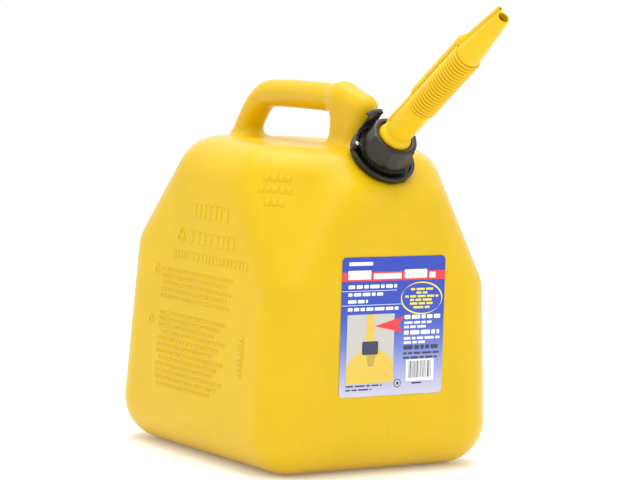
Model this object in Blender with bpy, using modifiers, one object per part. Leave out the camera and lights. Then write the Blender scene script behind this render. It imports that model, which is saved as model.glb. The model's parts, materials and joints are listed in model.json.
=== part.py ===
"""A twenty litre fuel can with a carrying handle, a screw collar and a flexible pouring spout.

Metres, +Z up. The origin is the middle of the base footprint. The labelled face looks along -Y, and the
neck leans forward from the shoulder, in the plane x = 0.
"""
import math

import bmesh
import bpy
from mathutils import Matrix, Vector

FIT_GAP = 0.0003

# Can body: a rounded block whose four upper corners are cut by slanted facets.
BODY_WIDTH = 0.2760
BODY_DEPTH = 0.3105
BODY_HEIGHT = 0.3111
EDGE_RADIUS = 0.0441
FRONT_FACET = (0.1395, 0.0857, 0.1154)
REAR_FACET = (0.1670, 0.0741, 0.1132)
SIDE_DRAFT = 0.060
FRONT_DRAFT = 0.019
WALL = 0.0025

# Neck axis: leans forward by NECK_LEAN from the vertical, and starts at NECK_FOOT on the front shoulder.
NECK_LEAN = math.radians(45)
NECK_FOOT = Vector((0, -0.1182, 0.3038))
SHOULDER_DROP = 0.0010
NECK_RADIUS = 0.0197
NECK_BORE_RADIUS = 0.0171
NECK_HEIGHT = 0.0249
NECK_ROOT = 0.0125
NECK_CHAMFER = 0.0005

# The neck and the round panel of wall at its foot are a node of their own, so that collision stays open.
PANEL_RADIUS = 0.0300
PANEL_SEGMENTS = 48

# Threads, on the neck and in the collar. They share one lead and stand half a lead apart.
THREAD_PITCH = 0.0062
THREAD_TURNS = 1.75
THREAD_CREST_RADIUS = 0.0212
THREAD_ROOT_WIDTH = 0.0031
THREAD_CREST_WIDTH = 0.0012
NECK_THREAD_START = 0.0119
THREAD_STEPS = 24
THREAD_FADE_STEPS = 4
THREAD_BURIED = 0.35
COLLAR_BORE_RADIUS = 0.0218
COLLAR_CREST_RADIUS = 0.0203

# Handle: a round bar from the rear shoulder to the neck, and a thicker front post.
BAR_RADIUS = 0.0140
HANDLE_HEIGHT = 0.3583
HANDLE_REAR = 0.0736
HANDLE_FRONT = -0.0529
REAR_FOOT = (0.1410, 0.2872)
REAR_BEND = (0.1068, 0.3386)
REAR_CREST = (HANDLE_REAR + 0.0166, 0.3526)
POST_HEAD = (-0.0871, 0.3505)
POST_HEEL = (-0.0530, 0.2904)
POST_BACK = (-0.0548, 0.3583)
POST_TOE = (-0.0664, 0.3018)

# Label on the front face.
LABEL_WIDTH = 0.1213
LABEL_HEIGHT = 0.1338
LABEL_CENTRE = (-0.0021, 0.1452)
LABEL_CORNER = 0.0041
LABEL_THICKNESS = 0.0004

# Ratchet ring round the foot of the neck.
RING_RADIUS = 0.0337
RING_BORE_RADIUS = 0.0223
RING_FLOOR = 0.0019
RING_HEIGHT = 0.0067
RING_WELL_RADIUS = 0.0301
RING_CHAMFER = 0.0008

# Screw collar.
FLANGE_BOTTOM = 0.0091
FLANGE_THICKNESS = 0.0025
FLANGE_RADIUS = 0.0272
TOOTH_COUNT = 36
TOOTH_HEIGHT = 0.0012
COLLAR_RADIUS_LOW = 0.0259
COLLAR_RADIUS_TOP = 0.0234
COLLAR_TOP = 0.0332
LIP_BOTTOM = 0.0305
LIP_HOLE_RADIUS = 0.0175
RIB_COUNT = 6
RIB_HEIGHT = 0.0011
RIB_WIDTH = 0.0023
COLLAR_CHAMFER = 0.0012
SKIRT_RADIUS = 0.0236
SKIRT_BOTTOM = 0.0040

# Lever: a curved arm that swings outward on a pin. It has a pawl inside it and a thumb tab at its end.
LEVER_RADIUS = 0.0316
LEVER_WIDTH = 0.0037
LEVER_BOTTOM = RING_HEIGHT + FIT_GAP
LEVER_TOP = 0.0130
PIN_ANGLE = math.radians(166)
PAWL_ANGLE = math.radians(128)
PAWL_HALF_ANGLE = math.radians(4)
TAB_ANGLE = math.radians(104)
TAB_HALF_ANGLE = math.radians(15)
TAB_FLARE = math.radians(1.5)
TAB_THICKNESS = 0.0022
LIP_THICKNESS = 0.0020
TAB_TOP = 0.0311
TAB_LIP = 0.0031
PAWL_REACH = 0.0006
PIN_RADIUS = 0.0015
PIN_HEAD_RADIUS = 0.0023
PIN_HEAD_HEIGHT = 0.0012
PIN_FOOT = 0.0031
HUB_RADIUS = 0.0030

# Gasket and spout foot.
GASKET_THICKNESS = 0.0021
SEAT_RADIUS = 0.0193
SPOUT_BORE_RADIUS = 0.0133
SEAT_THICKNESS = 0.0023
DOME_RADIUS = 0.0169
DOME_HEIGHT = 0.0135
PLUG_RADIUS = 0.0166
PLUG_DEPTH = 0.0052

# Spout: its tubes leave the dome at SPOUT_LEAN from the vertical.
SPOUT_LEAN = math.radians(53.3)
DOME_CENTRE_HEIGHT = 0.0342
POUR_RADIUS = 0.0130
POUR_BORE = 0.0112
VENT_RADIUS = 0.0050
VENT_BORE = 0.0035
VENT_OFFSET = 0.0143
VENT_ROOT = -0.0021
BELLOWS_START = 0.0477
BELLOWS_END = 0.1337
BELLOWS_RIDGES = 21
RIDGE_FACE_START = 0.25
RIDGE_FACE_END = 0.65
POUR_RIDGE_RADIUS = 0.0141
POUR_VALLEY_RADIUS = 0.0127
VENT_RIDGE_RADIUS = 0.0073
VENT_VALLEY_RADIUS = 0.0062
NOZZLE_RADIUS = 0.0122
TIP_RADIUS = 0.0065
TIP_BORE = 0.0052
NOZZLE_END = 0.1955
VENT_TIP_RADIUS = 0.0027
VENT_TIP_BORE = 0.0016
VENT_TIP_OFFSET = 0.0095
VENT_STEP_END = 0.1460
VENT_STEP_OFFSET = 0.0131
VENT_NECK_RADIUS = 0.0042
VENT_PROUD = 0.0005
NOZZLE_SHOULDER = 0.1372
TIP_WALL = 0.0012

COLOURS = {
    "can_plastic": ((0.93, 0.52, 0.010), 0.38, 0.0),
    "spout_plastic": ((0.85, 0.46, 0.020), 0.40, 0.0),
    "collar_plastic": ((0.022, 0.020, 0.018), 0.36, 0.0),
    "ring_plastic": ((0.018, 0.016, 0.014), 0.42, 0.0),
    "lever_plastic": ((0.025, 0.023, 0.021), 0.36, 0.0),
    "gasket_rubber": ((0.012, 0.012, 0.012), 0.80, 0.0),
    "pin_steel": ((0.62, 0.60, 0.58), 0.22, 1.0),
    "label_film": ((0.10, 0.20, 0.62), 0.32, 0.0),
}


def clear_scene():
    for item in list(bpy.data.objects):
        bpy.data.objects.remove(item, do_unlink=True)
    for group in list(bpy.data.collections):
        bpy.data.collections.remove(group)


def new_collection(name):
    group = bpy.data.collections.new(name)
    bpy.context.scene.collection.children.link(group)
    return group


def material(name):
    colour, roughness, metallic = COLOURS[name]
    result = bpy.data.materials.new(name)
    result.use_nodes = True
    shader = result.node_tree.nodes["Principled BSDF"]
    shader.inputs["Base Color"].default_value = (*colour, 1)
    shader.inputs["Roughness"].default_value = roughness
    shader.inputs["Metallic"].default_value = metallic
    result.diffuse_color = (*colour, 1)
    return result


def finish_mesh(bm, name, group, place=Matrix.Identity(4)):
    """Turn a bmesh into an object of the group, standing at the given matrix."""
    bmesh.ops.recalc_face_normals(bm, faces=bm.faces)
    mesh = bpy.data.meshes.new(name)
    bm.to_mesh(mesh)
    bm.free()
    item = bpy.data.objects.new(name, mesh)
    item.matrix_world = place
    group.objects.link(item)
    return item


def frame_at(origin, direction):
    """A frame whose +Z is the direction, whose +X is the world's, and whose origin is given."""
    forward = Vector(direction).normalized()
    side = Vector((1, 0, 0))
    up = forward.cross(side)
    turn = Matrix((side, up, forward)).transposed()
    return Matrix.Translation(origin) @ turn.to_4x4()


def lean_direction(lean):
    return Vector((0, -math.sin(lean), math.cos(lean)))


# ---------------------------------------------------------------- solids

def rounded_hull(name, points, radius, group, segments=12):
    """The convex hull of equal balls at the points."""
    ball = bmesh.new()
    bmesh.ops.create_uvsphere(ball, u_segments=segments, v_segments=segments // 2, radius=radius)
    bm = bmesh.new()
    for point in points:
        for vertex in ball.verts:
            bm.verts.new(vertex.co + point)
    ball.free()
    bmesh.ops.remove_doubles(bm, verts=bm.verts, dist=0.00005)
    bmesh.ops.convex_hull(bm, input=bm.verts)
    inside = [v for v in bm.verts if not v.link_faces]
    bmesh.ops.delete(bm, geom=inside, context="VERTS")
    return finish_mesh(bm, name, group)


def turned(name, profile, segments, group, place):
    """Turn a profile of (radius, height) points, down the outer side, about the place's Z.

    A profile that starts and ends on the axis stays open there, and any other closes on itself."""
    mesh = bpy.data.meshes.new(name)
    count = len(profile)
    edges = [(i, i + 1) for i in range(count - 1)]
    if profile[0][0] > 0:
        edges.append((count - 1, 0))
    mesh.from_pydata([(r, 0, h) for r, h in profile], edges, [])
    item = bpy.data.objects.new(name, mesh)
    group.objects.link(item)
    screw = item.modifiers.new("Turn", "SCREW")
    screw.steps = segments
    screw.render_steps = segments
    screw.use_merge_vertices = True
    screw.merge_threshold = 0.00002
    item.matrix_world = place
    return baked(item)


def rod(name, radius, bottom, top, segments, group, place):
    """A round bar between two heights."""
    return turned(name, [(0, top), (radius, top), (radius, bottom), (0, bottom)], segments, group, place)


def loft(name, sections, group, place):
    """Join equal rings of points one after another, with flat ends."""
    bm = bmesh.new()
    rings = [[bm.verts.new(point) for point in section] for section in sections]
    for first, second in zip(rings, rings[1:]):
        for index in range(len(first)):
            after = (index + 1) % len(first)
            bm.faces.new((first[index], first[after], second[after], second[index]))
    bm.faces.new(rings[0][::-1])
    bm.faces.new(rings[-1])
    bmesh.ops.triangulate(bm, faces=bm.faces)
    return finish_mesh(bm, name, group, place)


def baked(item):
    """The object with its modifiers applied, as a plain mesh of the same name and place."""
    depsgraph = bpy.context.evaluated_depsgraph_get()
    mesh = bpy.data.meshes.new_from_object(item.evaluated_get(depsgraph))
    item.modifiers.clear()
    item.data = mesh
    return item


def boolean(target, tool, operation):
    """Join or cut the target. MANIFOLD copes with the faces that many of these pieces share."""
    change = target.modifiers.new(operation.title(), "BOOLEAN")
    change.operation = operation
    change.object = tool
    change.solver = "MANIFOLD"
    baked(target)
    bpy.data.objects.remove(tool, do_unlink=True)
    return target


def join(target, *tools):
    for tool in tools:
        boolean(target, tool, "UNION")
    return target


def cut(target, *tools):
    for tool in tools:
        boolean(target, tool, "DIFFERENCE")
    return target


def finish(item, surface):
    item.data.materials.clear()
    item.data.materials.append(material(surface))
    item.data.shade_smooth()
    item.data.set_sharp_from_angle(angle=math.radians(32))
    return item


# ---------------------------------------------------------------- frames

NECK = frame_at(NECK_FOOT, lean_direction(NECK_LEAN))
DOME_CENTRE = NECK @ Vector((0, 0, DOME_CENTRE_HEIGHT))
SPOUT = frame_at(DOME_CENTRE, lean_direction(SPOUT_LEAN))
VENT = SPOUT @ Matrix.Translation((0, VENT_OFFSET, 0))
PIN_PLACE = NECK @ Matrix.Rotation(PIN_ANGLE, 4, "Z") @ Matrix.Translation((LEVER_RADIUS, 0, 0))


# ---------------------------------------------------------------- can body

def facet_plane(side_x, side_y):
    """A point and the normal of the slanted facet at one upper corner."""
    foot, width, depth = FRONT_FACET if side_y < 0 else REAR_FACET
    top_x = BODY_WIDTH / 2 - SIDE_DRAFT * BODY_HEIGHT
    top_y = BODY_DEPTH / 2 - FRONT_DRAFT * BODY_HEIGHT
    apex = Vector((side_x * (BODY_WIDTH / 2 - SIDE_DRAFT * foot),
                   side_y * (BODY_DEPTH / 2 - FRONT_DRAFT * foot), foot))
    on_front = Vector((side_x * (top_x - width), side_y * top_y, BODY_HEIGHT))
    on_side = Vector((side_x * top_x, side_y * (top_y - depth), BODY_HEIGHT))
    normal = (on_front - apex).cross(on_side - apex)
    return apex, normal * math.copysign(1, normal.z)


def body_planes():
    """A point and an outward normal for each flat face of the can."""
    leaning = lean_direction(NECK_LEAN)
    planes = [(Vector((0, 0, 0)), Vector((0, 0, -1))),
              (Vector((0, 0, BODY_HEIGHT)), Vector((0, 0, 1))),
              (NECK_FOOT - leaning * SHOULDER_DROP, leaning)]
    for side in (-1, 1):
        planes.append((Vector((side * BODY_WIDTH / 2, 0, 0)), Vector((side, 0, SIDE_DRAFT))))
        planes.append((Vector((0, side * BODY_DEPTH / 2, 0)), Vector((0, side, FRONT_DRAFT))))
        planes.append(facet_plane(side, -1))
        planes.append(facet_plane(side, 1))
    return planes


def body_core_points():
    """Corners of the block that lies EDGE_RADIUS inside the can's outer faces."""
    bm = bmesh.new()
    bmesh.ops.create_cube(bm, size=1.0)
    for point, normal in body_planes():
        outward = normal.normalized()
        result = bmesh.ops.bisect_plane(
            bm, geom=bm.verts[:] + bm.edges[:] + bm.faces[:],
            plane_co=point - outward * EDGE_RADIUS, plane_no=outward, clear_outer=True)
        rim = [e for e in result["geom_cut"] if isinstance(e, bmesh.types.BMEdge)]
        bmesh.ops.holes_fill(bm, edges=rim)
    points = [v.co.copy() for v in bm.verts]
    bm.free()
    return points


def handle_pieces(name, inset, group):
    """The handle as overlapping round-ended bars: rear leg, top bar and the thick front post."""
    radius = BAR_RADIUS - inset
    path = [REAR_FOOT, REAR_BEND, REAR_CREST, (HANDLE_REAR, HANDLE_HEIGHT), (HANDLE_FRONT, HANDLE_HEIGHT)]
    pieces = []
    for index, (start, end) in enumerate(zip(path, path[1:])):
        ends = [Vector((0, *start)), Vector((0, *end))]
        pieces.append(rounded_hull(f"{name}_bar_{index}", ends, radius, group))
    post = [POST_BACK, POST_HEAD, POST_HEEL, POST_TOE]
    pieces.append(rounded_hull(f"{name}_post", [Vector((0, *p)) for p in post], radius, group, 16))
    return pieces


def body_form(name, inset, group):
    core = rounded_hull(name, body_core_points(), EDGE_RADIUS - inset, group, 28)
    return join(core, *handle_pieces(name, inset, group))


def helix_ridge(name, base_radius, crest_radius, start, group):
    """A thread ridge round the neck's axis that fades in and out at its ends."""
    steps = round(THREAD_TURNS * THREAD_STEPS)
    depth = crest_radius - base_radius
    inside = base_radius - depth * THREAD_BURIED
    sections = []
    for step in range(steps + 1):
        angle = math.tau * step / THREAD_STEPS
        fade = min(1, max(step, 0.3) / THREAD_FADE_STEPS, max(steps - step, 0.3) / THREAD_FADE_STEPS)
        crest = base_radius + depth * fade
        middle = start + THREAD_PITCH * step / THREAD_STEPS
        corners = ((inside, -THREAD_ROOT_WIDTH / 2), (crest, -THREAD_CREST_WIDTH / 2),
                   (crest, THREAD_CREST_WIDTH / 2), (inside, THREAD_ROOT_WIDTH / 2))
        sections.append([(r * math.cos(angle), r * math.sin(angle), middle + h) for r, h in corners])
    return loft(name, sections, group, NECK)


def can_moulding(name, group):
    """The whole moulded can: its hollow body, its handle and its threaded neck."""
    body = body_form(name, 0, group)
    profile = [(0, NECK_HEIGHT), (NECK_RADIUS - NECK_CHAMFER, NECK_HEIGHT),
               (NECK_RADIUS, NECK_HEIGHT - NECK_CHAMFER), (NECK_RADIUS, -NECK_ROOT), (0, -NECK_ROOT)]
    neck = turned("neck", profile, 48, group, NECK)
    ridge = helix_ridge("neck_thread", NECK_RADIUS, THREAD_CREST_RADIUS, NECK_THREAD_START, group)
    join(body, join(neck, ridge))
    cavity = body_form("cavity", WALL, group)
    bore = rod("neck_bore", NECK_BORE_RADIUS, -2 * NECK_ROOT, 2 * NECK_HEIGHT, 48, group, NECK)
    return cut(body, join(cavity, bore))


def panel_rod(name, radius, group):
    """A cylinder round the neck's axis, from inside the can to past the neck's mouth."""
    return rod(name, radius, -NECK_ROOT, 2 * NECK_HEIGHT, PANEL_SEGMENTS, group, NECK)


def make_can_body(group):
    """The can without its neck and the panel round the neck's foot."""
    body = can_moulding("can_body", group)
    return finish(cut(body, panel_rod("panel_hole", PANEL_RADIUS + FIT_GAP, group)), "can_plastic")


def make_can_neck(group):
    """The neck with the round panel of wall that it stands on."""
    neck = can_moulding("can_neck", group)
    boolean(neck, panel_rod("panel", PANEL_RADIUS, group), "INTERSECT")
    return finish(neck, "can_plastic")


# ---------------------------------------------------------------- label

def make_label(group):
    """A thin rectangle with rounded corners, on the sloping front face."""
    outline = bpy.data.curves.new("label_outline", "CURVE")
    outline.dimensions = "2D"
    outline.fill_mode = "BOTH"
    outline.extrude = LABEL_THICKNESS / 2
    points = []
    for quarter, (side_x, side_y) in enumerate(((1, 1), (-1, 1), (-1, -1), (1, -1))):
        for step in range(4):
            angle = (quarter + step / 3) * math.pi / 2
            points.append((side_x * (LABEL_WIDTH / 2 - LABEL_CORNER) + LABEL_CORNER * math.cos(angle),
                           side_y * (LABEL_HEIGHT / 2 - LABEL_CORNER) + LABEL_CORNER * math.sin(angle)))
    spline = outline.splines.new("POLY")
    spline.points.add(len(points) - 1)
    for knot, (x, y) in zip(spline.points, points):
        knot.co = (x, y, 0, 1)
    spline.use_cyclic_u = True
    drawn = bpy.data.objects.new("label_outline", outline)
    group.objects.link(drawn)
    depsgraph = bpy.context.evaluated_depsgraph_get()
    mesh = bpy.data.meshes.new_from_object(drawn.evaluated_get(depsgraph))
    bpy.data.objects.remove(drawn, do_unlink=True)
    bm = bmesh.new()
    bm.from_mesh(mesh)
    bmesh.ops.remove_doubles(bm, verts=bm.verts, dist=0.00001)
    x, height = LABEL_CENTRE
    outward = Vector((0, -1, FRONT_DRAFT)).normalized()
    surface = Vector((x, -BODY_DEPTH / 2 + FRONT_DRAFT * height, height))
    up = Vector((0, FRONT_DRAFT, 1)).normalized()
    turn = Matrix((Vector((1, 0, 0)), up, outward)).transposed().to_4x4()
    place = Matrix.Translation(surface + outward * (FIT_GAP + LABEL_THICKNESS / 2)) @ turn
    return finish(finish_mesh(bm, "front_label", group, place), "label_film")


# ---------------------------------------------------------------- closure

def pin_hole(group):
    """A cutter for the running hole round the pin."""
    radius = PIN_RADIUS + FIT_GAP
    foot = PIN_FOOT - FIT_GAP
    return turned("pin_hole", [(0, TAB_TOP), (radius, TAB_TOP), (radius, foot), (0, foot)],
                  20, group, PIN_PLACE)


def make_lock_ring(group):
    """A shallow dish round the neck, with a boss for the lever's pin on its rim."""
    profile = [(RING_RADIUS - RING_CHAMFER, RING_HEIGHT), (RING_RADIUS, RING_HEIGHT - RING_CHAMFER),
               (RING_RADIUS, FIT_GAP), (RING_BORE_RADIUS, FIT_GAP), (RING_BORE_RADIUS, RING_FLOOR),
               (RING_WELL_RADIUS, RING_FLOOR), (RING_WELL_RADIUS, RING_HEIGHT)]
    ring = turned("lock_ring", profile, 64, group, NECK)
    foot = PIN_FOOT / 2
    boss = turned("boss", [(0, RING_HEIGHT), (HUB_RADIUS, RING_HEIGHT), (HUB_RADIUS, foot), (0, foot)],
                  24, group, PIN_PLACE)
    return finish(cut(join(ring, boss), pin_hole(group)), "ring_plastic")


def arc_band(name, start, end, inner, outer, bottom, top, steps, group):
    """A curved bar of rectangular section round the neck's axis."""
    sections = []
    for step in range(steps + 1):
        angle = start + (end - start) * step / steps
        ring = [(r * math.cos(angle), r * math.sin(angle), h)
                for r, h in ((inner, bottom), (outer, bottom), (outer, top), (inner, top))]
        sections.append(ring)
    return loft(name, sections, group, NECK)


def make_lock_lever(group):
    inner = LEVER_RADIUS - LEVER_WIDTH / 2
    outer = LEVER_RADIUS + LEVER_WIDTH / 2
    first = TAB_ANGLE - TAB_HALF_ANGLE
    last = TAB_ANGLE + TAB_HALF_ANGLE
    arm = arc_band("lock_lever", first, PIN_ANGLE, inner, outer, LEVER_BOTTOM, LEVER_TOP, 20, group)
    tab = arc_band("tab", first, last, outer - TAB_THICKNESS, outer, LEVER_TOP - FIT_GAP, TAB_TOP, 8, group)
    lip = arc_band("tab_lip", first - TAB_FLARE, last + TAB_FLARE, outer - TAB_THICKNESS, outer + TAB_LIP,
                   TAB_TOP - LIP_THICKNESS, TAB_TOP, 8, group)
    pawl_tip = FLANGE_RADIUS + TOOTH_HEIGHT + PAWL_REACH
    pawl = arc_band("pawl", PAWL_ANGLE - PAWL_HALF_ANGLE, PAWL_ANGLE + PAWL_HALF_ANGLE, pawl_tip,
                    LEVER_RADIUS, FLANGE_BOTTOM, FLANGE_BOTTOM + FLANGE_THICKNESS, 3, group)
    hub_profile = [(0, LEVER_TOP), (HUB_RADIUS, LEVER_TOP), (HUB_RADIUS, LEVER_BOTTOM), (0, LEVER_BOTTOM)]
    hub = turned("hub", hub_profile, 24, group, PIN_PLACE)
    return finish(cut(join(arm, tab, lip, pawl, hub), pin_hole(group)), "lever_plastic")


def make_lever_pin(group):
    head = LEVER_TOP + FIT_GAP
    profile = [(0, head + PIN_HEAD_HEIGHT), (PIN_RADIUS, head + PIN_HEAD_HEIGHT),
               (PIN_HEAD_RADIUS, head + PIN_HEAD_HEIGHT / 2), (PIN_HEAD_RADIUS, head), (PIN_RADIUS, head),
               (PIN_RADIUS, PIN_FOOT), (0, PIN_FOOT)]
    return finish(turned("lever_pin", profile, 24, group, PIN_PLACE), "pin_steel")


def grip_radius(height):
    """Outer radius of the collar's tapering grip at a height over the neck's foot."""
    share = (height - FLANGE_BOTTOM) / (COLLAR_TOP - FLANGE_BOTTOM)
    return COLLAR_RADIUS_LOW + (COLLAR_RADIUS_TOP - COLLAR_RADIUS_LOW) * share


def ratchet_crown(group):
    """The flange as a flat ring whose edge is a row of teeth."""
    outline = []
    for index in range(TOOTH_COUNT * 2):
        angle = math.tau * index / (TOOTH_COUNT * 2)
        radius = FLANGE_RADIUS + TOOTH_HEIGHT * (index % 2)
        outline.append((radius * math.cos(angle), radius * math.sin(angle)))
    low = FLANGE_BOTTOM + COLLAR_CHAMFER / 8
    high = FLANGE_BOTTOM + FLANGE_THICKNESS
    crown = loft("crown", [[(x, y, h) for x, y in outline] for h in (low, high)], group, NECK)
    middle = (COLLAR_BORE_RADIUS + COLLAR_RADIUS_LOW) / 2
    return cut(crown, rod("crown_hole", middle, 0, COLLAR_TOP, 48, group, NECK))


def grip_rib(angle, group):
    sections = []
    for height in (FLANGE_BOTTOM + FLANGE_THICKNESS / 2, COLLAR_TOP - COLLAR_CHAMFER):
        outer = grip_radius(height) + RIB_HEIGHT
        inner = outer - 3 * RIB_HEIGHT
        sections.append([(inner, -RIB_WIDTH, height), (outer, -RIB_WIDTH / 2, height),
                         (outer, RIB_WIDTH / 2, height), (inner, RIB_WIDTH, height)])
    return loft("rib", sections, group, NECK @ Matrix.Rotation(angle, 4, "Z"))


def make_collar(group):
    profile = [(LIP_HOLE_RADIUS + COLLAR_CHAMFER, COLLAR_TOP),
               (COLLAR_RADIUS_TOP - COLLAR_CHAMFER, COLLAR_TOP),
               (COLLAR_RADIUS_TOP, COLLAR_TOP - COLLAR_CHAMFER), (COLLAR_RADIUS_LOW, FLANGE_BOTTOM),
               (SKIRT_RADIUS, FLANGE_BOTTOM), (SKIRT_RADIUS, SKIRT_BOTTOM),
               (COLLAR_BORE_RADIUS, SKIRT_BOTTOM), (COLLAR_BORE_RADIUS, LIP_BOTTOM),
               (LIP_HOLE_RADIUS, LIP_BOTTOM), (LIP_HOLE_RADIUS, COLLAR_TOP - COLLAR_CHAMFER)]
    collar = turned("screw_collar", profile, 72, group, NECK)
    join(collar, ratchet_crown(group))
    for index in range(RIB_COUNT):
        join(collar, grip_rib(math.tau * index / RIB_COUNT, group))
    join(collar, helix_ridge("collar_thread", COLLAR_BORE_RADIUS, COLLAR_CREST_RADIUS,
                             NECK_THREAD_START + THREAD_PITCH / 2, group))
    return finish(collar, "collar_plastic")


def make_gasket(group):
    low = NECK_HEIGHT + FIT_GAP
    high = NECK_HEIGHT + GASKET_THICKNESS
    profile = [(SEAT_RADIUS, high), (SEAT_RADIUS, low), (NECK_BORE_RADIUS, low), (NECK_BORE_RADIUS, high)]
    return finish(turned("neck_gasket", profile, 48, group, NECK), "gasket_rubber")


# ---------------------------------------------------------------- spout

def make_spout_base(group):
    """Plug, flange and dome on the neck's axis, then the two tubes on the spout's axis, all hollow."""
    seat = NECK_HEIGHT + GASKET_THICKNESS + FIT_GAP
    top = seat + SEAT_THICKNESS
    foot = seat - PLUG_DEPTH
    profile = [(0, top + DOME_HEIGHT)]
    for step in range(1, 8):
        angle = math.radians(90 - step * 90 / 7)
        profile.append((DOME_RADIUS * math.cos(angle), top + DOME_HEIGHT * math.sin(angle)))
    profile += [(SEAT_RADIUS, top), (SEAT_RADIUS, seat)]
    profile += [(PLUG_RADIUS, seat), (PLUG_RADIUS, foot), (0, foot)]
    base = turned("spout_base", profile, 48, group, NECK)
    join(base, rod("pour_tube", POUR_RADIUS, 0, BELLOWS_START, 40, group, SPOUT))
    join(base, rod("vent_tube", VENT_RADIUS, VENT_ROOT, BELLOWS_START, 20, group, VENT))
    chamber = rod("chamber", SPOUT_BORE_RADIUS, foot - PLUG_DEPTH, top + DOME_HEIGHT / 3, 32, group, NECK)
    pour_bore = rod("pour_bore", POUR_BORE, 0, BELLOWS_START + WALL, 32, group, SPOUT)
    vent_bore = rod("vent_bore", VENT_BORE, WALL, BELLOWS_START + WALL, 16, group, VENT)
    cut(base, join(chamber, pour_bore), vent_bore)
    return finish(base, "spout_plastic")


def corrugated(ridge, valley, count, start, end):
    """The outer side of a corrugated tube, from its top end down."""
    length = (end - start) / count
    points = []
    for index in range(count):
        high = end - index * length
        points.append((valley, high))
        points.append((ridge, high - length * RIDGE_FACE_START))
        points.append((ridge, high - length * RIDGE_FACE_END))
    points.append((valley, start))
    return points


def make_spout_bellows(group):
    start = BELLOWS_START + FIT_GAP
    end = BELLOWS_END - FIT_GAP
    pour_side = corrugated(POUR_RIDGE_RADIUS, POUR_VALLEY_RADIUS, BELLOWS_RIDGES, start, end)
    vent_side = corrugated(VENT_RIDGE_RADIUS, VENT_VALLEY_RADIUS, BELLOWS_RIDGES, start, end)
    bellows = turned("spout_bellows", [(0, end)] + pour_side + [(0, start)], 28, group, SPOUT)
    join(bellows, turned("vent_bellows", [(0, end)] + vent_side + [(0, start)], 16, group, VENT))
    pour_bore = rod("pour_bore", POUR_BORE, start - WALL, end + WALL, 28, group, SPOUT)
    vent_bore = rod("vent_bore", VENT_BORE, start - WALL, end + WALL, 16, group, VENT)
    cut(bellows, pour_bore, vent_bore)
    return finish(bellows, "spout_plastic")


def tapered(name, stations, segments, group):
    """A round bar along the spout through stations of (height, radius, offset from the axis)."""
    sections = []
    for height, radius, offset in stations:
        turn = [math.tau * k / segments for k in range(segments)]
        sections.append([(radius * math.cos(a), offset + radius * math.sin(a), height) for a in turn])
    return loft(name, sections, group, SPOUT)


def make_spout_nozzle(group):
    pour = tapered("spout_nozzle", [(BELLOWS_END, NOZZLE_RADIUS, 0), (NOZZLE_SHOULDER, NOZZLE_RADIUS, 0),
                                    (NOZZLE_END, TIP_RADIUS, 0)], 40, group)
    vent = tapered("vent", [(BELLOWS_END, VENT_RIDGE_RADIUS, VENT_OFFSET),
                            (NOZZLE_SHOULDER, VENT_RIDGE_RADIUS, VENT_OFFSET),
                            (VENT_STEP_END, VENT_NECK_RADIUS, VENT_STEP_OFFSET),
                            (NOZZLE_END + VENT_PROUD, VENT_TIP_RADIUS, VENT_TIP_OFFSET)], 20, group)
    pour_bore = tapered("pour_bore", [(BELLOWS_END - WALL, POUR_BORE - TIP_WALL / 2, 0),
                                      (NOZZLE_END, TIP_BORE, 0),
                                      (NOZZLE_END + WALL, TIP_BORE, 0)], 32, group)
    vent_bore = tapered("vent_bore", [(BELLOWS_END - WALL, VENT_BORE, VENT_OFFSET),
                                      (VENT_STEP_END, VENT_NECK_RADIUS - TIP_WALL, VENT_STEP_OFFSET),
                                      (NOZZLE_END, VENT_TIP_BORE, VENT_TIP_OFFSET),
                                      (NOZZLE_END + WALL, VENT_TIP_BORE, VENT_TIP_OFFSET)], 16, group)
    return finish(cut(join(pour, vent), pour_bore, vent_bore), "spout_plastic")


def main():
    clear_scene()
    can = new_collection("jerry_can")
    make_can_body(can)
    make_can_neck(can)
    make_label(can)
    make_lock_ring(can)
    make_lock_lever(can)
    make_lever_pin(can)
    make_gasket(can)
    make_collar(can)
    make_spout_base(can)
    make_spout_bellows(can)
    make_spout_nozzle(can)


main()
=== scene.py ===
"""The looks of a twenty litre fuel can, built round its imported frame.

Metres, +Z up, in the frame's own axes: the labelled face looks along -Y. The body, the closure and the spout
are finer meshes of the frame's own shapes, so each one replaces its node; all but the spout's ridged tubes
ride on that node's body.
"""
import json
import math
import random

import bmesh
import bpy
import numpy as np
from mathutils import Matrix, Vector


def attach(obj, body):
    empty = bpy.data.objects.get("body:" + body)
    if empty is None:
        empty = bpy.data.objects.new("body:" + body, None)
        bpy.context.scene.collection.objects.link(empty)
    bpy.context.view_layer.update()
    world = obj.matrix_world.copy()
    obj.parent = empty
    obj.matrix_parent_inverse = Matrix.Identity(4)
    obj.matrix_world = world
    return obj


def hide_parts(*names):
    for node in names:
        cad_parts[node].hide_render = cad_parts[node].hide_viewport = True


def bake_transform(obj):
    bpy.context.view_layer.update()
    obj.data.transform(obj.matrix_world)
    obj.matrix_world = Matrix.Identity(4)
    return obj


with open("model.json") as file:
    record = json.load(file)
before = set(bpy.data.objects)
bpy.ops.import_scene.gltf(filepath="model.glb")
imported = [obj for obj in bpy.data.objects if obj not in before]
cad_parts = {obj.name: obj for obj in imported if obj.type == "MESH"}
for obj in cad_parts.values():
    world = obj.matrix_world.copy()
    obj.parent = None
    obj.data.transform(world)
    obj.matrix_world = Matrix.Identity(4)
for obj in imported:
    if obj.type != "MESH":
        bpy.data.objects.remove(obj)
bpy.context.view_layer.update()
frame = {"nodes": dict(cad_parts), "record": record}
JOINTS = {joint["name"]: joint for joint in frame["record"]["behaviour"]["joints"]}

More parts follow.
